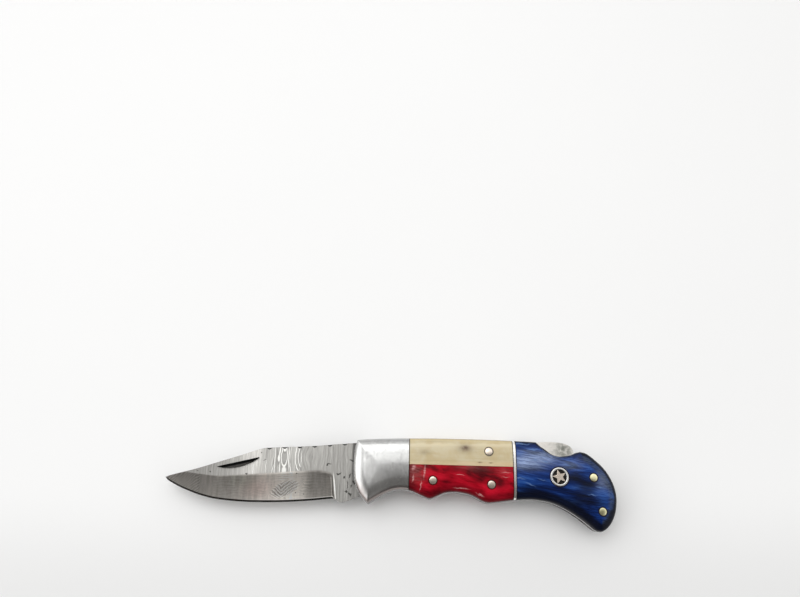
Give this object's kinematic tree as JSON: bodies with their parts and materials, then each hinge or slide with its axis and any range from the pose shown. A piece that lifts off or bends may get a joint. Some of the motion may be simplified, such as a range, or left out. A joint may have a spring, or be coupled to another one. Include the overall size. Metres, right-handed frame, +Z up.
{
  "type": "folding hunting knife",
  "caption": "Folding hunting knife with a patterned clip-point blade, rocking back lock, polished bolsters and horn, red and blue scales with a star inlay.",
  "frame": {"origin": "below the middle of the open knife's box, on the surface that it lies on", "axes": "+X along the knife from the blade's tip to the butt, +Y across it from the edge to the spine, +Z up through its thickness, from the right side to the left side"},
  "size_m": [0.1908, 0.0378, 0.0144],
  "materials": {
    "blade_steel": "layered pattern steel, etched and satin ground",
    "lock_steel": "satin",
    "liner_steel": "satin",
    "bolster_steel": "polished with fine brush marks",
    "horn": "polished pale horn",
    "red_wood": "dyed, stabilised and polished",
    "blue_wood": "dyed, stabilised and polished",
    "nickel_silver": "polished",
    "brass": "polished",
    "dark_resin": "polished filler"
  },
  "bodies": {
    "handle_body": {"back_spring": "lock_steel", "pivot_pin": "nickel_silver", "rocker_pin": "nickel_silver", "rear_pin_upper": "brass", "rear_pin_lower": "brass", "liner_left": "liner_steel", "liner_right": "liner_steel", "bolster_left": "bolster_steel", "bolster_right": "bolster_steel", "horn_scale_left": "horn", "horn_scale_right": "horn", "red_scale_left": "red_wood", "red_scale_right": "red_wood", "separator_left": "nickel_silver", "separator_right": "nickel_silver", "blue_scale_left": "blue_wood", "blue_scale_right": "blue_wood", "red_pin_front_left": "nickel_silver", "red_pin_rear_left": "nickel_silver", "red_pin_front_right": "nickel_silver", "red_pin_rear_right": "nickel_silver", "star_ring_left": "nickel_silver", "star_ring_right": "nickel_silver", "star_left": "nickel_silver", "star_right": "nickel_silver", "star_resin_left": "dark_resin", "star_resin_right": "dark_resin"},
    "blade_body": {"blade": "blade_steel"},
    "lock_body": {"lock_bar": "lock_steel"}
  },
  "joints": [
    {"name": "blade_pivot", "type": "hinge", "parent": "handle_body", "child": "blade_body", "pos_m": [-0.0043, 0.00515, 0.0072], "axis": [0, 0, 1], "range_deg": [0, 170]},
    {"name": "lock_rocker", "type": "hinge", "parent": "handle_body", "child": "lock_body", "pos_m": [0.04255, 0.01306, 0.0072], "axis": [0, 0, -1], "range_deg": [0, 4], "stiffness_Nm_per_rad": 0.6, "springref_deg": -5.73, "deforming": ["back_spring"]}
  ]
}
